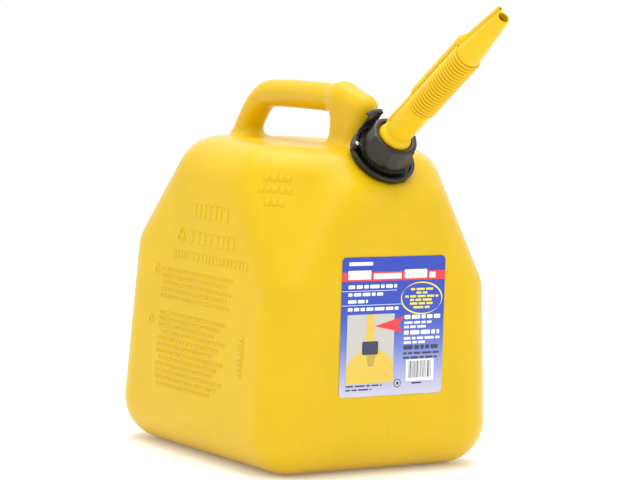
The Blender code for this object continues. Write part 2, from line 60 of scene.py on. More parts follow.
# Can body: a rounded block whose four upper corners are cut by slanted facets.
BODY_WIDTH = 0.2760
BODY_DEPTH = 0.3105
BODY_HEIGHT = 0.3111
EDGE_RADIUS = 0.0441
FRONT_FACET = (0.1395, 0.0857, 0.1154)
REAR_FACET = (0.1670, 0.0741, 0.1132)
SIDE_DRAFT = 0.060
FRONT_DRAFT = 0.019
SHOULDER_DROP = 0.0010
WALL = 0.0025
BODY_VOXEL = 0.0027
CAVITY_VOXEL = 0.0060

# Handle, as points of (y, z) in the plane x = 0, and how softly it runs into the body.
BAR_RADIUS = 0.0140
BAR_PATH = ((0.1410, 0.2872), (0.1068, 0.3386), (0.0902, 0.3526), (0.0736, 0.3583), (-0.0529, 0.3583))
POST_OUTLINE = ((-0.0871, 0.3505), (-0.0664, 0.3018), (-0.0530, 0.2904), (-0.0548, 0.3583))
BAR_ROUNDS = 3
POST_BLEND = 0.011
BODY_BLEND = 0.015

# Neck, with its thread.
NECK_FOOT = Vector(JOINTS["collar_turn"]["pos_m"])
NECK_AXIS = Vector(JOINTS["collar_turn"]["axis"]).normalized()
NECK_RADIUS = 0.0197
NECK_BORE = 0.0171
NECK_HEIGHT = 0.0249
NECK_ROOT = 0.0125
THREAD_PITCH = 0.0062
THREAD_TURNS = 1.75
THREAD_CREST = 0.0212
THREAD_START = 0.0119
THREAD_ROOT_WIDTH = 0.0031
THREAD_CREST_WIDTH = 0.0012

# Ratchet ring, lever and pin.
RING_RADIUS = 0.0337
RING_BORE = 0.0223
RING_FLOOR = 0.0019
RING_HEIGHT = 0.0067
RING_WELL = 0.0301
RING_FOOT = 0.0003
RING_LIP = 0.0240
RING_LIP_WIDTH = 0.0008
RING_LIP_TOP = 0.0064
LEVER_RADIUS = 0.0316
LEVER_WIDTH = 0.0037
LEVER_BOTTOM = 0.0070
LEVER_TOP = 0.0130
PIN_ANGLE = math.radians(166)
TAB_ANGLE = math.radians(104)
TAB_HALF_ANGLE = math.radians(15)
PAWL_ANGLE = math.radians(128)
PAWL_HALF_ANGLE = math.radians(4)
PAWL_TIP = 0.0290
TAB_THICKNESS = 0.0022
TAB_TOP = 0.0311
TAB_LIP = 0.0031
HUB_RADIUS = 0.0030
PIN_RADIUS = 0.0015
PIN_HEAD = 0.0023
PIN_FOOT = 0.0031
PIN_GAP = 0.0003

# Screw collar.
FLANGE_BOTTOM = 0.0091
FLANGE_TOP = 0.0116
FLANGE_RADIUS = 0.0272
TOOTH_COUNT = 36
TOOTH_HEIGHT = 0.0012
COLLAR_LOW = 0.0259
COLLAR_HIGH = 0.0234
COLLAR_TOP = 0.0332
COLLAR_BORE = 0.0218
COLLAR_CREST = 0.0203
LIP_BOTTOM = 0.0305
LIP_HOLE = 0.0175
SKIRT_RADIUS = 0.0236
SKIRT_BOTTOM = 0.0040
LOBES = 6
LOBE_HEIGHT = 0.0011
LOBE_SHARPNESS = 14

# Gasket and spout.
GASKET_LOW = 0.0252
GASKET_HIGH = 0.0270
SEAT_RADIUS = 0.0193
SEAT_LOW = 0.0273
SEAT_HIGH = 0.0296
PLUG_RADIUS = 0.0166
PLUG_LOW = 0.0221
PLUG_BORE = 0.0133
DOME_RADIUS = 0.0169
DOME_HEIGHT = 0.0135
DOME_CENTRE = 0.0342
SPOUT_LEAN = math.radians(53.3)
POUR_RADIUS = 0.0130
POUR_BORE = 0.0112
VENT_RADIUS = 0.0050
VENT_BORE = 0.0035
VENT_OFFSET = 0.0143
BELLOWS_START = 0.0477
BELLOWS_END = 0.1337
BELLOWS_GAP = 0.0003
RIDGES = 21
RIDGE_STEPS = 8
POUR_RIDGE = 0.0141
POUR_VALLEY = 0.0122
VENT_RIDGE = 0.0073
VENT_VALLEY = 0.0056
NOZZLE_RADIUS = 0.0122
NOZZLE_SHOULDER = 0.1372
NOZZLE_END = 0.1955
TIP_RADIUS = 0.0065
TIP_BORE = 0.0052
VENT_STEP_END = 0.1460
VENT_STEP_OFFSET = 0.0131
VENT_NECK = 0.0042
VENT_TIP = 0.0027
VENT_TIP_BORE = 0.0016
VENT_TIP_OFFSET = 0.0095
SPOUT_VOXEL = 0.00055
FOOT_SMOOTHING = 16

# Label.
LABEL_WIDTH = 0.1213
LABEL_HEIGHT = 0.1338
LABEL_CENTRE = (-0.0021, 0.1452)
LABEL_PROUD = 0.0007
PRINT_STEP = 0.00006

# Raised marks on the sides.
MARK_HEIGHT = 0.0007
MARK_SINK = 0.0006
MARK_TAPER = 0.86
MARK_UNIT = 0.001058

SEED = 7


# ---------------------------------------------------------------- frames

def frame_at(origin, direction):
    """A frame whose +Z is the direction, whose +X is the world's, and whose origin is given."""
    forward = Vector(direction).normalized()
    side = Vector((1, 0, 0))
    turn = Matrix((side, forward.cross(side), forward)).transposed()
    return Matrix.Translation(origin) @ turn.to_4x4()


NECK = frame_at(NECK_FOOT, NECK_AXIS)
SPOUT = frame_at(NECK @ Vector((0, 0, DOME_CENTRE)), (0, -math.sin(SPOUT_LEAN), math.cos(SPOUT_LEAN)))
VENT = SPOUT @ Matrix.Translation((0, VENT_OFFSET, 0))
PIN_PLACE = NECK @ Matrix.Rotation(PIN_ANGLE, 4, "Z") @ Matrix.Translation((LEVER_RADIUS, 0, 0))


# ---------------------------------------------------------------- materials

class Shading:
    """A Principled material and short ways to add nodes to it."""

    def __init__(self, name, colour, roughness, metallic=0.0):
        self.material = bpy.data.materials.new(name)
        self.material.use_nodes = True
        self.tree = self.material.node_tree
        self.shader = self.tree.nodes["Principled BSDF"]
        self.shader.inputs["Base Color"].default_value = (*colour, 1)
        self.shader.inputs["Roughness"].default_value = roughness
        self.shader.inputs["Metallic"].default_value = metallic
        self.material.diffuse_color = (*colour, 1)
        self.place = self.tree.nodes.new("ShaderNodeTexCoord").outputs["Object"]

    def noise(self, scale, detail=2.0):
        node = self.tree.nodes.new("ShaderNodeTexNoise")
        node.inputs["Scale"].default_value = scale
        node.inputs["Detail"].default_value = detail
        self.tree.links.new(self.place, node.inputs["Vector"])
        return node.outputs["Fac"]

    def ramp(self, source, stops):
        node = self.tree.nodes.new("ShaderNodeValToRGB")
        while len(node.color_ramp.elements) < len(stops):
            node.color_ramp.elements.new(0.5)
        for element, (position, colour) in zip(node.color_ramp.elements, stops):
            element.position = position
            element.color = (*colour, 1)
        self.tree.links.new(source, node.inputs["Fac"])
        return node.outputs["Color"]

    def span(self, source, low, high, to_low=0.0, to_high=1.0):
        node = self.tree.nodes.new("ShaderNodeMapRange")
        for key, value in (("From Min", low), ("From Max", high), ("To Min", to_low), ("To Max", to_high)):
            node.inputs[key].default_value = value
        self.tree.links.new(source, node.inputs["Value"])
        return node.outputs["Result"]

    def axis(self, index):
        node = self.tree.nodes.new("ShaderNodeSeparateXYZ")
        self.tree.links.new(self.place, node.inputs["Vector"])
        return node.outputs[index]

    def math(self, operation, first, second=None):
        node = self.tree.nodes.new("ShaderNodeMath")
        node.operation = operation
        self.tree.links.new(first, node.inputs[0])
        if second is not None and not isinstance(second, float):
            self.tree.links.new(second, node.inputs[1])
        elif second is not None:
            node.inputs[1].default_value = second
        return node.outputs[0]

    def colour(self, source):
        self.tree.links.new(source, self.shader.inputs["Base Color"])

    def roughness(self, source):
        self.tree.links.new(source, self.shader.inputs["Roughness"])

    def bump(self, source, depth, strength):
        node = self.tree.nodes.new("ShaderNodeBump")
        node.inputs["Distance"].default_value = depth
        node.inputs["Strength"].default_value = strength
        last = self.shader.inputs["Normal"].links
        if last:
            self.tree.links.new(last[0].from_socket, node.inputs["Normal"])
        self.tree.links.new(source, node.inputs["Height"])
        self.tree.links.new(node.outputs["Normal"], self.shader.inputs["Normal"])


def shade_between(colour, change):
    return tuple(min(1, max(0, part * (1 + change))) for part in colour)


def polyethylene(name, colour, roughness, depth, seam=False):
    """Moulded plastic: slightly translucent, with faint cloudiness and an orange-peel skin."""
    look = Shading(name, colour, roughness)
    look.colour(look.ramp(look.noise(14, 3), [(0.30, shade_between(colour, -0.035)),
                                              (0.70, shade_between(colour, 0.03))]))
    look.roughness(look.span(look.noise(55, 4), 0.3, 0.7, roughness - 0.045, roughness + 0.055))
    look.bump(look.noise(620, 2), 0.00008, 0.22)
    look.bump(look.noise(38, 2), 0.0005, 0.10)
    if seam:
        offset = look.math("ABSOLUTE", look.axis(0))
        look.bump(look.span(offset, 0.0003, 0.0011, 1.0, 0.0), 0.0004, 0.55)
    look.shader.inputs["Subsurface Weight"].default_value = depth
    look.shader.inputs["Subsurface Radius"].default_value = (1.0, 0.55, 0.08)
    look.shader.inputs["Subsurface Scale"].default_value = 0.006
    look.shader.inputs["Specular IOR Level"].default_value = 0.28
    return look.material


def black_plastic(name, colour, roughness):
    """Injection-moulded plastic with a faint grain and slightly paler patches."""
    look = Shading(name, colour, roughness)
    look.colour(look.ramp(look.noise(60, 2), [(0.38, colour), (0.74, shade_between(colour, 0.45))]))
    look.roughness(look.span(look.noise(90, 3), 0.3, 0.7, roughness - 0.04, roughness + 0.06))
    look.bump(look.noise(1100, 2), 0.00004, 0.12)
    look.shader.inputs["Specular IOR Level"].default_value = 0.42
    return look.material


def printed(name, colour, roughness=0.34):
    look = Shading(name, colour, roughness)
    look.roughness(look.span(look.noise(160, 3), 0.3, 0.7, roughness - 0.04, roughness + 0.05))
    look.bump(look.noise(420, 2), 0.00004, 0.15)
    look.shader.inputs["Coat Weight"].default_value = 0.18
    look.shader.inputs["Coat Roughness"].default_value = 0.16
    return look.material


def label_blend():
    """Deep blue at the top, washing out to lavender grey at the foot."""
    look = Shading("label_film", (0.012, 0.045, 0.42), 0.34)
    low, high = LABEL_CENTRE[1] - LABEL_HEIGHT / 2, LABEL_CENTRE[1] + LABEL_HEIGHT / 2
    share = look.span(look.axis(2), low, high)
    look.colour(look.ramp(share, [(0.02, (0.53, 0.53, 0.66)), (0.16, (0.34, 0.37, 0.64)),
                                  (0.38, (0.11, 0.16, 0.52)), (0.60, (0.018, 0.058, 0.46)),
                                  (1.0, (0.010, 0.042, 0.42))]))
    look.roughness(look.span(look.noise(160, 3), 0.3, 0.7, 0.30, 0.40))
    look.bump(look.noise(420, 2), 0.00004, 0.15)
    look.shader.inputs["Coat Weight"].default_value = 0.18
    look.shader.inputs["Coat Roughness"].default_value = 0.16
    return look.material


def steel():
    look = Shading("pin_steel", (0.66, 0.64, 0.62), 0.20, 1.0)
    look.roughness(look.span(look.noise(900, 3), 0.3, 0.7, 0.14, 0.30))
    look.bump(look.noise(2200, 2), 0.00003, 0.25)
    return look.material


def rubber():
    look = Shading("gasket_rubber", (0.014, 0.014, 0.014), 0.78)
    look.roughness(look.span(look.noise(500, 3), 0.3, 0.7, 0.70, 0.86))
    look.bump(look.noise(1800, 2), 0.00005, 0.4)
    return look.material


# ---------------------------------------------------------------- meshes

def new_piece(name, vertices, faces, material, place=None, smooth=True, sharp=40):
    mesh = bpy.data.meshes.new(name)
    mesh.from_pydata([tuple(v) for v in vertices], [], faces)
    if place is not None:
        mesh.transform(place)
    bm = bmesh.new()
    bm.from_mesh(mesh)
    bmesh.ops.recalc_face_normals(bm, faces=bm.faces)
    bm.to_mesh(mesh)
    bm.free()
    item = bpy.data.objects.new(name, mesh)
    bpy.context.scene.collection.objects.link(item)
    mesh.materials.append(material)
    if smooth:
        mesh.shade_smooth()
        mesh.set_sharp_from_angle(angle=math.radians(sharp))
    return item


def baked(item):
    depsgraph = bpy.context.evaluated_depsgraph_get()
    mesh = bpy.data.meshes.new_from_object(item.evaluated_get(depsgraph))
    item.modifiers.clear()
    item.data = mesh
    return item


def cut(target, *tools):
    for tool in tools:
        change = target.modifiers.new("Cut", "BOOLEAN")
        change.operation = "DIFFERENCE"
        change.object = tool
        change.solver = "MANIFOLD"
        baked(target)
        bpy.data.objects.remove(tool, do_unlink=True)
    return target


def merged(name, parts):
    """Several pieces as one object, each keeping its own closed shell."""
    bm = bmesh.new()
    for part in parts:
        bm.from_mesh(part.data)
    mesh = bpy.data.meshes.new(name)
    bm.to_mesh(mesh)
    bm.free()
    for material in parts[0].data.materials:
        mesh.materials.append(material)
    for part in parts:
        bpy.data.objects.remove(part, do_unlink=True)
    item = bpy.data.objects.new(name, mesh)
    bpy.context.scene.collection.objects.link(item)
    return item


def revolve(name, profile, segments, material, place, shape=None, sharp=40):
    """Turn a closed profile of (radius, height) points about the place's Z. shape may change a radius."""
    vertices = []
    for step in range(segments):
        angle = math.tau * step / segments
        for index, (radius, height) in enumerate(profile):
            r = shape(index, radius, height, angle) if shape else radius
            vertices.append((r * math.cos(angle), r * math.sin(angle), height))
    count = len(profile)
    faces = []
    for step in range(segments):
        after = (step + 1) % segments
        for index in range(count):
            up = (index + 1) % count
            faces.append((step * count + index, after * count + index, after * count + up, step * count + up))
    return new_piece(name, vertices, faces, material, place, sharp=sharp)


def rings(name, sections, material, place, closed=False, sharp=40):
    """Join equal rings of points one after another, with flat ends unless the last meets the first."""
    count = len(sections[0])
    vertices = [point for section in sections for point in section]
    faces = []
    total = len(sections)
    for first in range(total if closed else total - 1):
        second = (first + 1) % total
        for index in range(count):
            after = (index + 1) % count
            faces.append((first * count + index, first * count + after,
                          second * count + after, second * count + index))
    if not closed:
        faces.append(tuple(range(count))[::-1])
        faces.append(tuple(range((total - 1) * count, total * count)))
    return new_piece(name, vertices, faces, material, place, sharp=sharp)


def rounded_profile(corners, radius, steps=3):
    """A closed profile with each corner rounded by up to the radius."""
    result = []
    count = len(corners)
    for index, corner in enumerate(corners):
        here = Vector(corner)
        before = Vector(corners[index - 1]) - here
        after = Vector(corners[(index + 1) % count]) - here
        reach = min(radius, before.length * 0.45, after.length * 0.45)
        start = here + before.normalized() * reach
        end = here + after.normalized() * reach
        for step in range(steps + 1):
            share = step / steps
            point = start.lerp(here, share).lerp(here.lerp(end, share), share)
            result.append((point.x, point.y))
    return result


def disc(radius, offset, height, segments):
    turn = [math.tau * k / segments for k in range(segments)]
    return [(radius * math.cos(a), offset + radius * math.sin(a), height) for a in turn]


def rod(name, stations, segments, material, place):
    """A round bar through stations of (height, radius, offset along the place's Y)."""
    return rings(name, [disc(r, o, h, segments) for h, r, o in stations], material, place)


def remeshed(name, parts, voxel, material, smooths):
    """The parts grown together into one skin, with their creases softened."""
    item = merged(name, parts)
    change = item.modifiers.new("Skin", "REMESH")
    change.mode = "VOXEL"
    change.voxel_size = voxel
    baked(item)
    if smooths:
        change = item.modifiers.new("Soften", "SMOOTH")
        change.factor = 0.5
        change.iterations = smooths
        baked(item)
    item.data.materials.clear()
    item.data.materials.append(material)
    item.data.shade_smooth()
    return item


# ---------------------------------------------------------------- body as a distance field

def facet_plane(side_x, side_y):
    """A point and the normal of the slanted facet at one upper corner."""
    foot, width, depth = FRONT_FACET if side_y < 0 else REAR_FACET
    top_x = BODY_WIDTH / 2 - SIDE_DRAFT * BODY_HEIGHT
    top_y = BODY_DEPTH / 2 - FRONT_DRAFT * BODY_HEIGHT
    apex = Vector((side_x * (BODY_WIDTH / 2 - SIDE_DRAFT * foot),
                   side_y * (BODY_DEPTH / 2 - FRONT_DRAFT * foot), foot))
    on_front = Vector((side_x * (top_x - width), side_y * top_y, BODY_HEIGHT))
    on_side = Vector((side_x * top_x, side_y * (top_y - depth), BODY_HEIGHT))
    normal = (on_front - apex).cross(on_side - apex)
    return apex, normal * math.copysign(1, normal.z)


def body_planes():
    planes = [(Vector((0, 0, 0)), Vector((0, 0, -1))), (Vector((0, 0, BODY_HEIGHT)), Vector((0, 0, 1))),
              (NECK_FOOT - NECK_AXIS * SHOULDER_DROP, NECK_AXIS)]
    for side in (-1, 1):
        planes.append((Vector((side * BODY_WIDTH / 2, 0, 0)), Vector((side, 0, SIDE_DRAFT))))
        planes.append((Vector((0, side * BODY_DEPTH / 2, 0)), Vector((0, side, FRONT_DRAFT))))
        planes.append(facet_plane(side, -1))
        planes.append(facet_plane(side, 1))
    return planes


def core_block():
    """The block that lies EDGE_RADIUS inside the can's outer faces, as a bmesh of triangles."""
    bm = bmesh.new()
    bmesh.ops.create_cube(bm, size=1.0)
    for point, normal in body_planes():
        outward = normal.normalized()
        result = bmesh.ops.bisect_plane(
            bm, geom=bm.verts[:] + bm.edges[:] + bm.faces[:],
            plane_co=point - outward * EDGE_RADIUS, plane_no=outward, clear_outer=True)
        rim = [e for e in result["geom_cut"] if isinstance(e, bmesh.types.BMEdge)]
        bmesh.ops.holes_fill(bm, edges=rim)
    bmesh.ops.remove_doubles(bm, verts=bm.verts, dist=0.00001)
    bmesh.ops.triangulate(bm, faces=bm.faces)
    return bm


CORE = core_block()
CORE_POINTS = [v.co.copy() for v in CORE.verts]
CORE_TRIANGLES = [tuple(np.array(v.co) for v in face.verts) for face in CORE.faces if face.calc_area() > 1e-9]
CORE.free()


def nearest_on_segment(points, a, b):
    along = b - a
    share = np.clip((points - a) @ along / (along @ along), 0, 1)
    return a + share[:, None] * along


def closest(points, candidates):
    """For each point, the nearest of its candidates."""
    candidates = iter(candidates)
    best = next(candidates)
    least = np.linalg.norm(points - best, axis=1)
    for found in candidates:
        gap = np.linalg.norm(points - found, axis=1)
        best = np.where((gap < least)[:, None], found, best)
        least = np.minimum(gap, least)
    return best


def nearest_on_triangle(points, a, b, c):
    edges = ((a, b), (b, c), (c, a))
    normal = np.cross(b - a, c - a)
    normal = normal / np.linalg.norm(normal)
    flat = points - ((points - a) @ normal)[:, None] * normal
    inside = np.ones(len(points), bool)
    for start, end in edges:
        inside &= (flat - start) @ np.cross(normal, end - start) >= 0
    best = flat.copy()
    outside = points[~inside]
    best[~inside] = closest(outside, (nearest_on_segment(outside, *edge) for edge in edges))
    return best


def away_from(points, nearest, radius):
    """Distance to a round skin about the nearest points, and its direction."""
    step = points - nearest
    gap = np.maximum(np.linalg.norm(step, axis=1), 1e-9)
    return gap - radius, step / gap[:, None]


def soft_union(first, second, width):
    share = np.clip(0.5 + 0.5 * (second[0] - first[0]) / width, 0, 1)
    value = second[0] * (1 - share) + first[0] * share - width * share * (1 - share)
    return value, first[1] * share[:, None] + second[1] * (1 - share)[:, None]


def rounded_path(path, rounds):
    """The path with its corners cut off again and again, which leaves its two ends in place."""
    for _ in range(rounds):
        softer = [path[0]]
        for start, end in zip(path, path[1:]):
            softer += [start * 0.75 + end * 0.25, start * 0.25 + end * 0.75]
        path = softer + [path[-1]]
    return path


BAR_CURVE = rounded_path([np.array((0, y, z)) for y, z in BAR_PATH], BAR_ROUNDS)


def block_field(points):
    found = closest(points, (nearest_on_triangle(points, *corners) for corners in CORE_TRIANGLES))
    return away_from(points, found, EDGE_RADIUS)


def handle_field(points):
    """The bar is a round tube about its curve, and the post a rounded slab about its outline."""
    found = closest(points, (nearest_on_segment(points, a, b) for a, b in zip(BAR_CURVE, BAR_CURVE[1:])))
    first, *others = [np.array((0, y, z)) for y, z in POST_OUTLINE]
    slab = closest(points, (nearest_on_triangle(points, first, b, c) for b, c in zip(others, others[1:])))
    return soft_union(away_from(points, found, BAR_RADIUS), away_from(points, slab, BAR_RADIUS), POST_BLEND)


def body_field(points):
    return soft_union(block_field(points), handle_field(points), BODY_BLEND)


def settle(points, level, rounds=6):
    """Move points onto the body's skin, or onto the one at a level outside it."""
    points = np.array(points, float)
    for _ in range(rounds):
        value, slope = body_field(points)
        size = np.maximum((slope * slope).sum(axis=1), 0.1)
        points -= ((value - level) / size)[:, None] * slope
    return points


def ball_hull(name, centres, radius, segments):
    ball = bmesh.new()
    bmesh.ops.create_uvsphere(ball, u_segments=segments, v_segments=segments // 2, radius=radius)
    bm = bmesh.new()
    for centre in centres:
        for vertex in ball.verts:
            bm.verts.new(vertex.co + centre)
    ball.free()
    bmesh.ops.convex_hull(bm, input=bm.verts)
    bmesh.ops.delete(bm, geom=[v for v in bm.verts if not v.link_faces], context="VERTS")
    mesh = bpy.data.meshes.new(name)
    bm.to_mesh(mesh)
    bm.free()
    item = bpy.data.objects.new(name, mesh)
    bpy.context.scene.collection.objects.link(item)
    return item


def body_skin(name, inset, voxel, material):
    """The can's closed skin at an inset from its outer side."""
    parts = [ball_hull(name, CORE_POINTS, EDGE_RADIUS - inset, 24)]
    for start, end in zip(BAR_CURVE, BAR_CURVE[1:]):
        parts.append(ball_hull(name, (Vector(start), Vector(end)), BAR_RADIUS - inset, 16))
    parts.append(ball_hull(name, [Vector((0, y, z)) for y, z in POST_OUTLINE], BAR_RADIUS - inset, 16))
    item = remeshed(name, parts, voxel, material, 0)
    count = len(item.data.vertices)
    found = np.empty(count * 3)
    item.data.vertices.foreach_get("co", found)
    item.data.vertices.foreach_set("co", settle(found.reshape(-1, 3), -inset).ravel())
    item.data.update()
    return item


# ---------------------------------------------------------------- can

def make_body(material):
    body = body_skin("can_shell", 0, BODY_VOXEL, material)
    cavity = body_skin("cavity", WALL, CAVITY_VOXEL, material)
    bore = rod("bore", [(-2 * NECK_ROOT, NECK_BORE, 0), (NECK_HEIGHT, NECK_BORE, 0)], 64, material, NECK)
    cut(body, cavity, bore)
    body.data.materials.clear()
    body.data.materials.append(material)
    body.data.shade_smooth()
    body.data.set_sharp_from_angle(angle=math.radians(50))
    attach(body, "can")
    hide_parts("can_body")


def helix(name, base, crest, start, material):
    steps = round(THREAD_TURNS * 64)
    sections = []
    for step in range(steps + 1):
        angle = math.tau * step / 64
        fade = min(1, max(step, 0.5) / 10, max(steps - step, 0.5) / 10)
        tip = base + (crest - base) * fade
        middle = start + THREAD_PITCH * step / 64
        inside = base - (crest - base) * 0.3
        corners = ((inside, -THREAD_ROOT_WIDTH / 2), (tip, -THREAD_CREST_WIDTH / 2),
                   (tip, THREAD_CREST_WIDTH / 2), (inside, THREAD_ROOT_WIDTH / 2))
        sections.append([(r * math.cos(angle), r * math.sin(angle), middle + h) for r, h in corners])
    return rings(name, sections, material, NECK, sharp=30)


def make_neck(material):
    foot = -NECK_ROOT / 2
    profile = rounded_profile([(NECK_BORE, NECK_HEIGHT), (NECK_RADIUS, NECK_HEIGHT), (NECK_RADIUS, foot),
                               (NECK_BORE, foot)], 0.0006)
    tube = revolve("neck_tube", profile, 96, material, NECK)
    ridge = helix("neck_ridge", NECK_RADIUS, THREAD_CREST, THREAD_START, material)
    neck = merged("threaded_neck", [tube, ridge])
    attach(neck, "can")
    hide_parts("can_neck")


def side_point(y, z):
    return (-(BODY_WIDTH / 2 - SIDE_DRAFT * z), y, z)


def raised_marks(name, marks, material):
    """Low raised bars that follow the skin. Each mark is four corner points near it, in order."""
    vertices, faces = [], []
    for corners in marks:
        corners = np.array(corners, float)
        middle = corners.mean(axis=0)
        shrunk = middle + (corners - middle) * MARK_TAPER
        for ring, level in ((corners, -MARK_SINK), (corners, MARK_HEIGHT * 0.45), (shrunk, MARK_HEIGHT)):
            vertices.extend(settle(ring, level, 4))
        base = len(vertices) - 12
        for layer in (0, 4):
            for k in range(4):
                low, high = base + layer, base + layer + 4
                after = (k + 1) % 4
                faces.append((low + k, low + after, high + after, high + k))
        faces.append((base, base + 3, base + 2, base + 1))
        faces.append((base + 8, base + 9, base + 10, base + 11))
    item = new_piece(name, vertices, faces, material, sharp=60)
    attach(item, "can")


def side_block(y, z, width, height):
    """Corners of a bar on the left side, from its front lower corner back and up."""
    outline = ((y, z), (y + width, z), (y + width, z + height), (y, z + height))
    return [side_point(*point) for point in outline]


def dash_row(rng, front, back, low, high, least, most, gap):
    """A row of short bars from the back edge of a line to its front, like greeked type."""
    marks = []
    place = back
    while place > front + least:
        width = min(rng.uniform(least, most), place - front)
        marks.append(side_block(place - width, low, width, high - low))
        place -= width + gap * rng.choice((1, 1, 1, 2.2))
    return marks


def triangle_outline(y, z, size, stroke):
    """Three bars round an upright triangle on the left side."""
    tops = [(y - size / 2, z), (y + size / 2, z), (y, z + size * 0.87)]
    marks = []
    for start, end in zip(tops, tops[1:] + tops[:1]):
        start, end = Vector(start), Vector(end)
        across = Vector((-(end - start).y, (end - start).x)).normalized() * stroke / 2
        marks.append([side_point(*p) for p in (start - across, end - across, end + across, start + across)])
    return marks


def make_marks(material):
    """The left side's rows, triangles and upright column of bars, laid out in steps of MARK_UNIT."""
    rng = random.Random(SEED)
    rows = ((-46, 21, 223, 236, 5.4, 7.4, 2.6), (-60, 23, 199, 210, 6.0, 8.2, 2.6),
            (-81, 49, 183, 190, 3.6, 5.4, 1.6))
    marks = []
    for row in rows:
        marks += dash_row(rng, *(size * MARK_UNIT for size in row))
    lines = [(172 - 6.4 * k, 66 - 4 * (k % 3 == 2), -57 + 7 * (k % 2)) for k in range(5)]
    lines += [(131 - 6.1 * k, 65 - 5 * (k % 4 == 3), -53 + 9 * (k % 3)) for k in range(12)]
    for top, back, front in lines:
        sizes = (front, back, top - 3.1, top, 1.8, 3.4, 0.9)
        marks += dash_row(rng, *(size * MARK_UNIT for size in sizes))
    for y, z, size in ((37, 200, 14), (75, 166, 9), (79, 118, 9)):
        marks += triangle_outline(y * MARK_UNIT, z * MARK_UNIT, size * MARK_UNIT, 0.0016)
    for step in range(9):
        low = (86 + 4.4 * step) * MARK_UNIT
        marks.append(side_block(-85 * MARK_UNIT, low, 0.0105 * (0.7 + 0.3 * (step % 2)), 0.0026))
    raised_marks("side_marks", marks, material)


def facet_marks(material):
    """Three short rows on the front left facet, laid out across its slope."""
    rng = random.Random(SEED + 1)
    apex, normal = facet_plane(-1, -1)
    outward = normal.normalized()
    across = Vector((0, 0, 1)).cross(outward).normalized()
    upward = outward.cross(across).normalized()
    centre = Vector((-0.0930, -0.0850, 0.2640))
    centre -= outward * (centre - apex).dot(outward)
    marks = []
    for height, half in ((0.012, 0.015), (0.0, 0.018), (-0.013, 0.010)):
        place = -half
        while place < half - 0.003:
            width = min(rng.uniform(0.0045, 0.0065), half - place)
            corners = [centre + across * a + upward * b for a, b in
                       ((place, height), (place + width, height), (place + width, height + 0.0075),
                        (place, height + 0.0075))]
            marks.append([tuple(c) for c in corners])
            place += width + 0.0017
    raised_marks("facet_marks", marks, material)


# ---------------------------------------------------------------- label

def label_frame():
    x, height = LABEL_CENTRE
    outward = Vector((0, -1, FRONT_DRAFT)).normalized()
    up = Vector((0, FRONT_DRAFT, 1)).normalized()
    surface = Vector((x, -BODY_DEPTH / 2 + FRONT_DRAFT * height, height))
    turn = Matrix((Vector((1, 0, 0)), up, outward)).transposed().to_4x4()
    return Matrix.Translation(surface + outward * LABEL_PROUD) @ turn


def pill(left, right, low, high, rounding=0.3):
    """A bar on the label, in shares of its width and height, with rounded corners."""
    x0, x1 = (left - 0.5) * LABEL_WIDTH, (right - 0.5) * LABEL_WIDTH
    y0, y1 = (low - 0.5) * LABEL_HEIGHT, (high - 0.5) * LABEL_HEIGHT
    corners = [(x0, y0), (x1, y0), (x1, y1), (x0, y1)]
    return rounded_profile(corners, min(x1 - x0, y1 - y0) * rounding, 4)


def shape_on_label(points):
    return [((u - 0.5) * LABEL_WIDTH, (v - 0.5) * LABEL_HEIGHT) for u, v in points]


def words(rng, left, right, low, high):
    """A line of greeked words: bars of uneven length with gaps."""
    bars = []
    place = left
    while place < right - 0.012:
        width = min(rng.uniform(0.035, 0.10), right - place)
        bars.append(pill(place, place + width, low, high))
        place += width + 0.013
    return bars


def crescent(start, end, thickest):
    """Part of an oval band that thins towards its ends."""
    steps = 40
    outside, inside = [], []
    for step in range(steps + 1):
        share = step / steps
        angle = math.radians(start + (end - start) * share)
        depth = thickest * math.sin(math.pi * share) + 0.004
        for line, size in ((outside, 1), (inside, 1 - depth)):
            line.append((0.775 + 0.205 * size * math.cos(angle), 0.695 + 0.118 * size * math.sin(angle)))
    return shape_on_label(outside + inside[::-1])


def print_piece(name, shapes, material, layer, place):
    vertices, faces = [], []
    for outline in shapes:
        base = len(vertices)
        vertices.extend((x, y, layer * PRINT_STEP) for x, y in outline)
        faces.append(tuple(range(base, base + len(outline))))
    mesh = bpy.data.meshes.new(name)
    mesh.from_pydata(vertices, [], faces)
    mesh.transform(place)
    mesh.materials.append(material)
    item = bpy.data.objects.new(name, mesh)
    bpy.context.scene.collection.objects.link(item)
    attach(item, "can")


